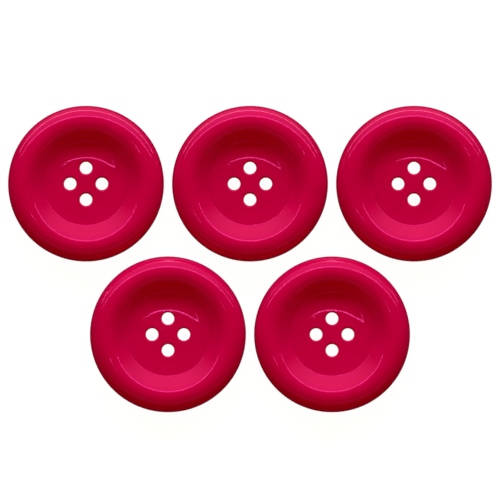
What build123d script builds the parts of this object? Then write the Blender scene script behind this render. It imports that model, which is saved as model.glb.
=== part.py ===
"""A set of five round sew-through buttons, lying face up as three above two.

Each button is turned and polished from one piece of plastic: a rolled rim, a wall that
slopes down into a dish, a floor that curves up a little towards the wall, four thread
holes with softened edges, and a flat land on the back that sits against the cloth.
The set lies on its lands on the plane Z = 0, centred on the Z axis, faces towards +Z.
Sizes are in millimetres and angles in degrees.
"""

import os
from math import cos, radians, sin, sqrt, tan

from build123d import *

# Rim: the level circle along its top is its highest line, the crest
button_diameter = 28.0
rim_outer_radius = 2.8  # roundness of the rim from the crest out to the widest line
rim_inner_radius = 2.65  # roundness of the rim from the crest in to the wall

# Dish
wall_reach = 3.8  # level distance from the edge of the floor to the crest
wall_angle = 40.0
floor_thickness = 2.1  # at the centre
floor_edge_tilt = 8.0  # how steep the floor has become at its edge
corner_radius = 0.6  # hollow corner between floor and wall

# Thread holes
hole_count = 4
hole_diameter = 2.25
hole_circle_diameter = 5.7
first_hole_angle = 90.0  # anticlockwise from +X
hole_edge_radius = 0.3

# Back
back_reach = 5.0  # level distance from the edge of the land to the widest line
back_angle = 7.0
land_edge_radius = 4.0

# Layout of the set
side_gap = 1.44  # between neighbours in a row
slant_gap = 2.8  # between a button and its nearest neighbours in the other row
top_row = ("top_left_button", "top_middle_button", "top_right_button")
bottom_row = ("bottom_left_button", "bottom_right_button")

# Worked out from the sizes above
edge_radius = button_diameter / 2
floor_radius = edge_radius - rim_outer_radius - wall_reach
floor_rise = floor_radius * tan(radians(floor_edge_tilt)) / 4
corner_reach = corner_radius * (sin(radians(wall_angle)) - sin(radians(floor_edge_tilt)))
rim_inner_reach = rim_inner_radius * sin(radians(wall_angle))
wall_length = (wall_reach - corner_reach - rim_inner_reach) / cos(radians(wall_angle))
land_radius = edge_radius - back_reach
back_rise = back_reach * tan(radians(back_angle))
pitch = button_diameter + side_gap
row_pitch = sqrt((button_diameter + slant_gap) ** 2 - (pitch / 2) ** 2)

# One button on the Z axis, turned from a section that passes between two thread holes
section_plane = Plane.XZ.rotated((0, 0, first_hole_angle + 180 / hole_count))
with BuildPart() as button:
    with BuildSketch(section_plane) as section:
        with BuildLine():
            # The floor is the curve z = rise * (r / radius)^4, level at the centre
            floor = Bezier(
                (0, floor_thickness),
                (floor_radius / 4, floor_thickness),
                (floor_radius / 2, floor_thickness),
                (floor_radius * 3 / 4, floor_thickness),
                (floor_radius, floor_thickness + floor_rise),
            )
            corner = JernArc(floor @ 1, floor % 1, corner_radius, wall_angle - floor_edge_tilt)
            wall = PolarLine(corner @ 1, wall_length, wall_angle)
            rim_inside = JernArc(wall @ 1, wall % 1, rim_inner_radius, -wall_angle)
            rim_outside = JernArc(rim_inside @ 1, (1, 0), rim_outer_radius, -90)

            # The underside is rounded from the widest line until it meets the back's slope
            underside_turn = 90 - back_angle
            underside_height = (rim_outside @ 1).Y - back_rise
            underside_radius = underside_height / tan(radians(underside_turn / 2))
            underside = JernArc(rim_outside @ 1, (0, -1), underside_radius, -underside_turn)
            Polyline(underside @ 1, (land_radius, 0), (0, 0), floor @ 0)
        make_face()
        land_edge = section.vertices().sort_by_distance((land_radius, 0, 0))[0]
        fillet(land_edge, land_edge_radius)
    revolve(axis=Axis.Z)

    with PolarLocations(hole_circle_diameter / 2, hole_count, start_angle=first_hole_angle):
        Hole(hole_diameter / 2)
    hole_walls = button.faces().filter_by(GeomType.CYLINDER)
    fillet(hole_walls.edges().filter_by(GeomType.LINE, reverse=True), hole_edge_radius)

# The set: a row of three above a row of two
os.makedirs("parts", exist_ok=True)
for row, row_y in ((top_row, row_pitch / 2), (bottom_row, -row_pitch / 2)):
    for name, column in zip(row, GridLocations(pitch, 0, len(row), 1)):
        with BuildPart() as placed_button:
            with Locations(column * Location((0, row_y, 0))):
                add(button.part)
        placed_button.part.label = name
        export_step(placed_button.part, f"parts/{name}.step")
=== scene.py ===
"""Looks of a set of five glossy plastic sew-through buttons, lying face up on white.

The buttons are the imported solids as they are: their rims, dishes, thread holes and backs are
already true. This script gives each one its plastic, coloured right through and polished on
the face, with a turned back, and sets up the floor, the lamps and the camera.
Lengths are in metres and angles in degrees unless a name says otherwise.
"""

import logging
from dataclasses import dataclass, field
from enum import Enum
from math import cos, pi, radians, sin, tan

import bmesh
import bpy
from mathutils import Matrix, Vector

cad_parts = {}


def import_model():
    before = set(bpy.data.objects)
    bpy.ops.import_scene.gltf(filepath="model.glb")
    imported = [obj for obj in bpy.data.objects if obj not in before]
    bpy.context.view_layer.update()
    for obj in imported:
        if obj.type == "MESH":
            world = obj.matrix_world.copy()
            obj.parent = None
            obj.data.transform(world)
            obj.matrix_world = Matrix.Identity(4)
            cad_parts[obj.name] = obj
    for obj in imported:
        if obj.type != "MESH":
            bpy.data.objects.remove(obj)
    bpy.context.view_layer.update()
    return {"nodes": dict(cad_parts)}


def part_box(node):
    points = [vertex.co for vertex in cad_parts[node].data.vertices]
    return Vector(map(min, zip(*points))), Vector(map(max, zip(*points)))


Colour = tuple[float, float, float]
Socket = bpy.types.NodeSocket
Tree = bpy.types.NodeTree

LOG = logging.getLogger("buttons")
WHITE: Colour = (1.0, 1.0, 1.0)
MILLIMETRES = 1000  # in a metre
NOISE_MEAN = 0.5  # what a noise texture comes to on average


def opaque(colour: Colour) -> tuple[float, float, float, float]:
    """Gives a colour the full alpha that a colour socket asks for."""
    return (*colour, 1.0)


def shader_socket(group: Tree, name: str, kind: str, side: str = "INPUT") -> None:
    """Adds a socket to a shader node group.

    Args:
        group: The node group.
        name: The socket's name.
        kind: "Float" or "Vector".
        side: "INPUT" or "OUTPUT".
    """
    group.interface.new_socket(name=name, in_out=side, socket_type=f"NodeSocket{kind}")


def math_node(
    tree: Tree, operation: str, first: Socket | float, second: Socket | float = 0.0,
    clamp: bool = False,
) -> Socket:
    """Adds a Math node and feeds it.

    Args:
        tree: The node tree.
        operation: The node's operation, such as "MULTIPLY".
        first: A socket or a number.
        second: A socket or a number.
        clamp: Whether the result is kept from 0 to 1.

    Returns:
        The socket that holds the result.
    """
    node = tree.nodes.new("ShaderNodeMath")
    node.operation = operation
    node.use_clamp = clamp
    for socket, value in zip(node.inputs, (first, second)):
        if isinstance(value, bpy.types.NodeSocket):
            tree.links.new(value, socket)
        else:
            socket.default_value = value
    return node.outputs[0]


def mix_colours(tree: Tree, share: Socket, first: Socket | Colour, second: Colour) -> Socket:
    """Adds a Mix node for two colours and feeds it.

    Args:
        tree: The node tree.
        share: The share of the second colour.
        first: A socket or a colour.
        second: A colour.

    Returns:
        The socket that holds the mixed colour.
    """
    node = tree.nodes.new("ShaderNodeMix")
    node.data_type = "RGBA"
    tree.links.new(share, node.inputs["Factor"])
    if isinstance(first, bpy.types.NodeSocket):
        tree.links.new(first, node.inputs["A"])
    else:
        node.inputs["A"].default_value = opaque(first)
    node.inputs["B"].default_value = opaque(second)
    return node.outputs["Result"]


def smooth_step(tree: Tree, value: Socket, none_at: float, full_at: float) -> Socket:
    """Adds a smooth change from 0 to 1.

    Args:
        tree: The node tree.
        value: The socket that it follows.
        none_at: The value at which it is 0.
        full_at: The value at which it is 1.

    Returns:
        The socket that holds the result.
    """
    node = tree.nodes.new("ShaderNodeMapRange")
    node.interpolation_type = "SMOOTHSTEP"
    node.inputs["From Min"].default_value = none_at
    node.inputs["From Max"].default_value = full_at
    tree.links.new(value, node.inputs["Value"])
    return node.outputs["Result"]


def noise(
    tree: Tree, vector: Socket, scale: float, detail: float, distortion: float = 0.0
) -> Socket:
    """Adds a Noise Texture.

    Args:
        tree: The node tree.
        vector: The coordinates that it reads.
        scale: How many times it repeats in a metre.
        detail: The number of finer layers on top.
        distortion: How far it is swirled.

    Returns:
        The socket that holds the noise, which is NOISE_MEAN on average.
    """
    node = tree.nodes.new("ShaderNodeTexNoise")
    node.inputs["Scale"].default_value = scale
    node.inputs["Detail"].default_value = detail
    node.inputs["Distortion"].default_value = distortion
    tree.links.new(vector, node.inputs["Vector"])
    return node.outputs["Fac"]


@dataclass(frozen=True)
class SurfaceEffect:
    """A node group that is built once and placed in every button's plastic."""

    name: str

    def place(self, tree: Tree, vector: Socket) -> bpy.types.Node:
        """Places the group in a material and gives it its coordinates.

        Args:
            tree: The material's node tree.
            vector: The coordinates that the effect reads.

        Returns:
            The node that stands for the group.
        """
        group = bpy.data.node_groups.get(self.name)
        if group is None:
            group = bpy.data.node_groups.new(self.name, "ShaderNodeTree")
            shader_socket(group, "Vector", "Vector")
            self.fill(group)
        node = tree.nodes.new("ShaderNodeGroup")
        node.node_tree = group
        tree.links.new(vector, node.inputs["Vector"])
        return node

    def fill(self, group: Tree) -> None:
        """Adds the effect's own sockets and nodes to the group, which has its Vector socket.

        Args:
            group: The node group.
        """
        raise NotImplementedError


@dataclass(frozen=True)
class PigmentDrift(SurfaceEffect):
    """How unevenly the pigment was stirred into the resin before it set."""

    name: str = "pigment_drift"
    cloud_scale: float = 95.0
    cloud_detail: float = 3.0
    streak_scale: float = 330.0
    streak_detail: float = 2.0
    streak_share: float = 0.5  # of the clouds' strength
    swirl: float = 1.6
    middle: float = 0.5  # what Factor comes to on average

    def fill(self, group: Tree) -> None:
        """Takes Vector and Amount in, and gives Factor out.

        Args:
            group: The node group.
        """
        shader_socket(group, "Amount", "Float")
        shader_socket(group, "Factor", "Float", "OUTPUT")
        start, end = group.nodes.new("NodeGroupInput"), group.nodes.new("NodeGroupOutput")
        vector = start.outputs["Vector"]
        clouds = noise(group, vector, self.cloud_scale, self.cloud_detail, self.swirl)
        streaks = noise(group, vector, self.streak_scale, self.streak_detail, self.swirl)
        fainter = math_node(group, "MULTIPLY", streaks, self.streak_share)
        both = math_node(group, "ADD", clouds, fainter)
        centred = math_node(group, "SUBTRACT", both, NOISE_MEAN * (1 + self.streak_share))
        swing = math_node(group, "MULTIPLY", centred, start.outputs["Amount"])
        factor = math_node(group, "ADD", swing, self.middle, clamp=True)
        group.links.new(factor, end.inputs["Factor"])


@dataclass(frozen=True)
class PolishHaze(SurfaceEffect):
    """The faint haze and hairlines that a polishing drum leaves on a glossy face."""

    name: str = "polish_haze"
    cloud_scale: float = 260.0
    cloud_detail: float = 2.0
    hairline_scale: float = 900.0
    hairline_detail: float = 0.0
    hairline_stretch: float = 14.0
    hairline_turns: tuple[float, ...] = (17.0, 71.0, 128.0)
    hairline_threshold: float = 0.70  # only the peaks of the noise above it become hairlines
    hairline_sharpness: float = 12.0

    def fill(self, group: Tree) -> None:
        """Takes Vector, Roughness, Haze and Hairlines in, and gives Roughness out.

        Args:
            group: The node group.
        """
        for name in ("Roughness", "Haze", "Hairlines"):
            shader_socket(group, name, "Float")
        shader_socket(group, "Roughness", "Float", "OUTPUT")
        start, end = group.nodes.new("NodeGroupInput"), group.nodes.new("NodeGroupOutput")
        vector = start.outputs["Vector"]
        clouds = noise(group, vector, self.cloud_scale, self.cloud_detail)
        haze = math_node(group, "MULTIPLY", clouds, start.outputs["Haze"])
        rough = math_node(group, "ADD", start.outputs["Roughness"], haze)
        for turn in self.hairline_turns:
            peaks = self.hairlines(group, vector, turn)
            lines = math_node(group, "MULTIPLY", peaks, start.outputs["Hairlines"])
            rough = math_node(group, "ADD", rough, lines)
        group.links.new(rough, end.inputs["Roughness"])

    def hairlines(self, group: Tree, vector: Socket, turn: float) -> Socket:
        """Adds one direction of hairlines.

        Args:
            group: The node group.
            vector: The coordinates that they read.
            turn: The way that they run, from +X towards +Y.

        Returns:
            The socket that is 1 on a hairline and 0 elsewhere.
        """
        place = group.nodes.new("ShaderNodeMapping")
        place.inputs["Rotation"].default_value = (0.0, 0.0, radians(turn))
        place.inputs["Scale"].default_value = (1.0, self.hairline_stretch, 1.0)
        group.links.new(vector, place.inputs["Vector"])
        stretched = place.outputs["Vector"]
        grain = noise(group, stretched, self.hairline_scale, self.hairline_detail)
        peak = math_node(group, "SUBTRACT", grain, self.hairline_threshold)
        return math_node(group, "MULTIPLY", peak, self.hairline_sharpness, clamp=True)


@dataclass(frozen=True)
class TurningMarks(SurfaceEffect):
    """The rings that a lathe tool leaves, on the back and under the edge only."""

    name: str = "turning_marks"
    rings_per_metre: float = 3000.0
    wobble: float = 0.25  # of a ring
    wobble_scale: float = 120.0
    wobble_detail: float = 1.0
    full_at_height: float = 0.0006
    none_at_height: float = 0.0016

    def fill(self, group: Tree) -> None:
        """Takes Vector in, and gives Height of the rings and Mask of the back out.

        Args:
            group: The node group.
        """
        shader_socket(group, "Height", "Float", "OUTPUT")
        shader_socket(group, "Mask", "Float", "OUTPUT")
        start, end = group.nodes.new("NodeGroupInput"), group.nodes.new("NodeGroupOutput")
        vector = start.outputs["Vector"]
        parts = group.nodes.new("ShaderNodeSeparateXYZ")
        group.links.new(vector, parts.inputs["Vector"])
        across = math_node(group, "MULTIPLY", parts.outputs["X"], parts.outputs["X"])
        along = math_node(group, "MULTIPLY", parts.outputs["Y"], parts.outputs["Y"])
        radius = math_node(group, "SQRT", math_node(group, "ADD", across, along))
        rings = math_node(group, "MULTIPLY", radius, self.rings_per_metre)
        unevenness = noise(group, vector, self.wobble_scale, self.wobble_detail)
        shift = math_node(group, "MULTIPLY", unevenness, self.wobble)
        turns = math_node(group, "ADD", rings, shift)
        wave = math_node(group, "SINE", math_node(group, "MULTIPLY", turns, 2 * pi))
        mask = smooth_step(group, parts.outputs["Z"], self.none_at_height, self.full_at_height)
        group.links.new(mask, end.inputs["Mask"])
        group.links.new(math_node(group, "MULTIPLY", wave, mask), end.inputs["Height"])


@dataclass(frozen=True)
class ButtonPlastic:
    """Cast polyester, crimson right through, polished to a high gloss on the face."""

    pale_colour: Colour = (0.53, 0.0, 0.042)
    deep_colour: Colour = (0.49, 0.0, 0.036)
    drift: float = 2.5
    face_roughness: float = 0.02
    haze: float = 0.012
    hairlines: float = 0.03
    back_roughness: float = 0.22  # on top of the face's
    ring_height: float = 0.000006
    refraction: float = 1.5
    gloss_level: float = 1.0
    gloss_tint: Colour = (0.8, 0.07, 0.4)

    def material(self, name: str, centre: Vector) -> bpy.types.Material:
        """Builds the plastic of one button.

        Args:
            name: The material's name.
            centre: The button's centre on the floor, which its turning rings run round.

        Returns:
            The material.
        """
        material = bpy.data.materials.new(name)
        material.use_nodes = True
        tree = material.node_tree
        shader = tree.nodes["Principled BSDF"]
        shader.inputs["IOR"].default_value = self.refraction
        shader.inputs["Specular IOR Level"].default_value = self.gloss_level
        shader.inputs["Specular Tint"].default_value = opaque(self.gloss_tint)

        coordinates = tree.nodes.new("ShaderNodeTexCoord")
        in_set = coordinates.outputs["Object"]
        place = tree.nodes.new("ShaderNodeMapping")
        place.inputs["Location"].default_value = (-centre.x, -centre.y, 0.0)
        tree.links.new(in_set, place.inputs["Vector"])
        on_button = place.outputs["Vector"]

        drift = PigmentDrift().place(tree, in_set)
        drift.inputs["Amount"].default_value = self.drift
        colour = mix_colours(tree, drift.outputs["Factor"], self.deep_colour, self.pale_colour)
        tree.links.new(colour, shader.inputs["Base Color"])

        polish = PolishHaze().place(tree, in_set)
        polish.inputs["Roughness"].default_value = self.face_roughness
        polish.inputs["Haze"].default_value = self.haze
        polish.inputs["Hairlines"].default_value = self.hairlines
        turning = TurningMarks().place(tree, on_button)
        dull = math_node(tree, "MULTIPLY", turning.outputs["Mask"], self.back_roughness)
        rough = math_node(tree, "ADD", polish.outputs["Roughness"], dull)
        tree.links.new(rough, shader.inputs["Roughness"])

        bump = tree.nodes.new("ShaderNodeBump")
        bump.inputs["Distance"].default_value = self.ring_height
        tree.links.new(turning.outputs["Height"], bump.inputs["Height"])
        tree.links.new(bump.outputs["Normal"], shader.inputs["Normal"])
        return material


@dataclass
class Button:
    """One sew-through button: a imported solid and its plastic."""

    node: bpy.types.Object
    plastic: ButtonPlastic

    @property
    def centre(self) -> Vector:
        """The button's centre, on the plane that its back rests on."""
        lowest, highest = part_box(self.node.name)
        return Vector(((lowest.x + highest.x) / 2, (lowest.y + highest.y) / 2, lowest.z))

    def dress(self) -> None:
        """Gives the solid its plastic in every material slot."""
        material = self.plastic.material(f"{self.node.name}_plastic", self.centre)
        for slot in self.node.material_slots:
            slot.link = "DATA"
            slot.material = material


@dataclass
class ButtonSet:
    """The five buttons, three above two."""

    nodes: dict[str, bpy.types.Object]
    plastic: ButtonPlastic = field(default_factory=ButtonPlastic)

    def dress(self) -> None:
        """Dresses every button and reports it."""
        for name in sorted(self.nodes):
            button = Button(self.nodes[name], self.plastic)
            button.dress()
            place = button.centre.xy * MILLIMETRES
            LOG.info("dressed %s, centre %.2f, %.2f mm", name, *place)


class Lights(Enum):
    """What a lamp is for: the shading of the surfaces, or what their gloss mirrors."""

    SHADING = "shading"
    GLOSS = "gloss"


@dataclass(frozen=True)
class Lamp:
    """A flat rectangular lamp that faces a point in or above the set."""

    name: str
    middle: tuple[float, float, float]
    width: float
    height: float
    brightness: float
    lights: Lights
    faces: tuple[float, float, float] = (0.0, 0.0, 0.0)
    colour: Colour = WHITE
    # Shares of the width over which the start and the end of the lamp fade out
    soft_ends: tuple[float, float] = (0.0, 0.0)
    foot: float = 1.0  # brightness at the lower edge, as a share of that at the upper edge
    soft_top: float = 0.0  # share of the height over which the upper edge fades out

    def build(self) -> None:
        """Adds the lamp, unseen by the camera. Its brightness is 1 where it looks white."""
        data = bpy.data.lights.new(self.name, "AREA")
        data.shape = "RECTANGLE"
        data.size = self.width
        data.size_y = self.height
        data.energy = self.brightness * pi * self.width * self.height
        data.color = self.colour
        if any(self.soft_ends) or self.soft_top or self.foot != 1.0:
            self.shade(data)
        lamp = bpy.data.objects.new(self.name, data)
        lamp.location = self.middle
        back = Vector(self.middle) - Vector(self.faces)
        lamp.rotation_euler = back.to_track_quat("Z", "Y").to_euler()
        lamp.visible_camera = False
        lamp.visible_diffuse = self.lights is Lights.SHADING
        lamp.visible_glossy = self.lights is Lights.GLOSS
        bpy.context.scene.collection.objects.link(lamp)

    def shade(self, data: bpy.types.AreaLight) -> None:
        """Makes the lamp's brightness vary over its face.

        Args:
            data: The lamp's data, whose node tree is filled.
        """
        data.use_nodes = True
        tree = data.node_tree
        face = tree.nodes.new("ShaderNodeNewGeometry")
        place = tree.nodes.new("ShaderNodeSeparateXYZ")
        tree.links.new(face.outputs["Parametric"], place.inputs["Vector"])
        from_start, from_foot = place.outputs["X"], place.outputs["Y"]
        from_end = math_node(tree, "SUBTRACT", 1.0, from_start)
        from_top = math_node(tree, "SUBTRACT", 1.0, from_foot)
        rise = math_node(tree, "MULTIPLY", from_foot, 1 - self.foot)
        strength = math_node(tree, "ADD", rise, self.foot)
        fades = zip((from_start, from_end, from_top), (*self.soft_ends, self.soft_top))
        for way_in, share in fades:
            if share:
                fade = smooth_step(tree, way_in, 0.0, share)
                strength = math_node(tree, "MULTIPLY", strength, fade)
        tree.links.new(strength, tree.nodes["Emission"].inputs["Strength"])


@dataclass(frozen=True)
class Overhead:
    """A lamp over the set, whose edges are given as angles from straight up."""

    name: str
    left: float
    right: float
    far: float
    near: float
    brightness: float
    soft_ends: tuple[float, float] = (0.0, 0.0)

    def lamp(self, distance: float) -> Lamp:
        """Places the lamp.

        Args:
            distance: How high it hangs.

        Returns:
            The lamp, facing straight down.
        """
        angles = (self.left, self.right, self.far, self.near)
        left, right, far, near = (distance * tan(radians(angle)) for angle in angles)
        x, y = (left + right) / 2, (far + near) / 2
        return Lamp(
            self.name, (x, y, distance), right - left, far - near, self.brightness,
            Lights.GLOSS, faces=(x, y, 0.0), soft_ends=self.soft_ends,
        )


@dataclass(frozen=True)
class Upright:
    """An upright lamp behind or before the set, whose edges are angles from straight up."""

    name: str
    top: float
    bottom: float
    half_width: float
    brightness: float
    soft_ends: tuple[float, float] = (0.1, 0.1)
    foot: float = 1.0
    soft_top: float = 0.0
    colour: Colour = WHITE
    distance: float = 6.0  # behind the set, and below 0 before it

    def lamp(self) -> Lamp:
        """Places the lamp.

        Returns:
            The lamp, facing the upright line through the middle of the set.
        """
        away = abs(self.distance)
        high, low = (away / tan(radians(angle)) for angle in (self.top, self.bottom))
        level = (low + high) / 2
        return Lamp(
            self.name, (0.0, self.distance, level), 2 * away * tan(radians(self.half_width)),
            high - low, self.brightness, Lights.GLOSS, faces=(0.0, 0.0, level),
            colour=self.colour, soft_ends=self.soft_ends, foot=self.foot,
            soft_top=self.soft_top,
        )


@dataclass
class Studio:
    """The floor, the even light round the set, the lamps and the camera."""

    # The camera: how far it leans from straight above, its lens in millimetres, how wide
    # the view is at the point that it aims at, and how deep, in distances to that point
    tilt: float = 2.0
    lens: float = 1000.0
    frame_width: float = 0.08974
    aim: tuple[float, float, float] = (0.0, 0.00162, 0.0018)
    view_depth: float = 4.0

    floor_size: float = 40.0
    floor_grey: float = 0.06  # in the lamps' light, on top of the glow that the camera sees
    floor_glow: float = 0.97

    # The even light and the key light are tinted against each other, so that level plastic
    # keeps its own colour, while the shaded sides lose their blue
    even_light: float = 0.52
    even_colour: Colour = (1.0, 1.0, 0.12)
    key_distance: float = 6.0
    key_elevation: float = 27.0
    key_spread: tuple[float, float] = (80.0, 12.0)
    key_strength: float = 1.45
    key_colour: Colour = (1.0, 1.0, 2.0)

    # What the gloss mirrors: dim, reddish surroundings and the lamps listed here
    gloss_surroundings: float = 0.05
    gloss_surroundings_colour: Colour = (2.6, 0.12, 0.5)
    uprights: tuple[Upright, ...] = (
        Upright("panel", 31.2, 125.0, 62.0, 1.9, soft_ends=(0.45, 0.45), foot=0.08),
        Upright("upper_tube", 37.2, 40.4, 68.0, 7.5, distance=5.94),
        Upright("lower_tube", 83.8, 90.6, 66.0, 5.0, distance=5.94),
        Upright(
            "front_panel", 36.0, 77.0, 66.0, 1.3, soft_ends=(0.4, 0.4), foot=0.0,
            soft_top=0.6, colour=(1.0, 0.3, 0.5), distance=-6.0,
        ),
    )
    overhead_distance: float = 12.0
    overhead: tuple[Overhead, ...] = (
        Overhead("bar", -8.0, 5.3, -1.5, -1.8, 11.0, soft_ends=(0.3, 0.0)),
        Overhead("bar_end", -8.2, -7.9, -1.8, -4.3, 6.5),
    )

    def build(self) -> None:
        """Builds the whole studio and reports it."""
        self.build_floor()
        self.build_world()
        uprights = [piece.lamp() for piece in self.uprights]
        overhead = [piece.lamp(self.overhead_distance) for piece in self.overhead]
        for lamp in (self.key(), *uprights, *overhead):
            lamp.build()
            LOG.info("lamp %s, brightness %.2f", lamp.name, lamp.brightness)
        self.build_camera()
        bpy.context.scene.view_settings.view_transform = "Standard"

    def build_floor(self) -> None:
        """Lays the floor under the set.

        It glows white for the camera only, takes a very faint shadow of the buttons, and is
        not mirrored in their gloss.
        """
        mesh = bpy.data.meshes.new("floor")
        plane = bmesh.new()
        bmesh.ops.create_grid(plane, x_segments=1, y_segments=1, size=self.floor_size / 2)
        plane.to_mesh(mesh)
        plane.free()
        floor = bpy.data.objects.new("floor", mesh)
        bpy.context.scene.collection.objects.link(floor)
        material = bpy.data.materials.new("white_floor")
        material.use_nodes = True
        tree = material.node_tree
        shader = tree.nodes["Principled BSDF"]
        shader.inputs["Base Color"].default_value = opaque((self.floor_grey,) * 3)
        shader.inputs["Roughness"].default_value = 1.0
        shader.inputs["Specular IOR Level"].default_value = 0.0
        shader.inputs["Emission Color"].default_value = opaque(WHITE)
        rays = tree.nodes.new("ShaderNodeLightPath")
        glow = math_node(tree, "MULTIPLY", rays.outputs["Is Camera Ray"], self.floor_glow)
        tree.links.new(glow, shader.inputs["Emission Strength"])
        floor.data.materials.append(material)
        floor.visible_glossy = False

    def build_world(self) -> None:
        """Surrounds the set with even light: white to the camera, dim and red in the gloss."""
        world = bpy.data.worlds.new("studio")
        world.use_nodes = True
        tree = world.node_tree
        rays = tree.nodes.new("ShaderNodeLightPath")
        strength, colour = self.even_light, self.even_colour
        others = (
            ("Is Glossy Ray", self.gloss_surroundings, self.gloss_surroundings_colour),
            ("Is Camera Ray", 1.0, WHITE),
        )
        for ray, seen_strength, seen_colour in others:
            is_ray = rays.outputs[ray]
            change = math_node(tree, "MULTIPLY", is_ray, seen_strength - self.even_light)
            strength = math_node(tree, "ADD", change, strength)
            colour = mix_colours(tree, is_ray, colour, seen_colour)
        background = tree.nodes["Background"]
        tree.links.new(strength, background.inputs["Strength"])
        tree.links.new(colour, background.inputs["Color"])
        bpy.context.scene.world = world

    def key(self) -> Lamp:
        """Places the main light, behind the set and low enough to shade the dishes.

        Returns:
            The lamp, facing the set.
        """
        width, height = (
            2 * self.key_distance * tan(radians(spread / 2)) for spread in self.key_spread
        )
        turn = radians(self.key_elevation)
        middle = (0.0, self.key_distance * cos(turn), self.key_distance * sin(turn))
        brightness = self.key_strength * pi * self.key_distance**2 / (width * height)
        return Lamp(
            "key", middle, width, height, brightness, Lights.SHADING, colour=self.key_colour
        )

    def build_camera(self) -> None:
        """Sets a long lens above the set, leaning a little towards the near row."""
        data = bpy.data.cameras.new("camera")
        data.lens = self.lens
        camera = bpy.data.objects.new("camera", data)
        distance = self.frame_width * data.lens / data.sensor_width
        lean = radians(self.tilt)
        back = Vector((0.0, -sin(lean), cos(lean)))
        camera.location = Vector(self.aim) + back * distance
        camera.rotation_euler = back.to_track_quat("Z", "Y").to_euler()
        data.clip_end = distance * self.view_depth
        bpy.context.scene.collection.objects.link(camera)
        bpy.context.scene.camera = camera


def main() -> None:
    """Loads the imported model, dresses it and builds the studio."""
    logging.basicConfig(level=logging.INFO, format="%(message)s")
    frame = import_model()
    ButtonSet(frame["nodes"]).dress()
    Studio().build()


if __name__ == "__main__":
    main()
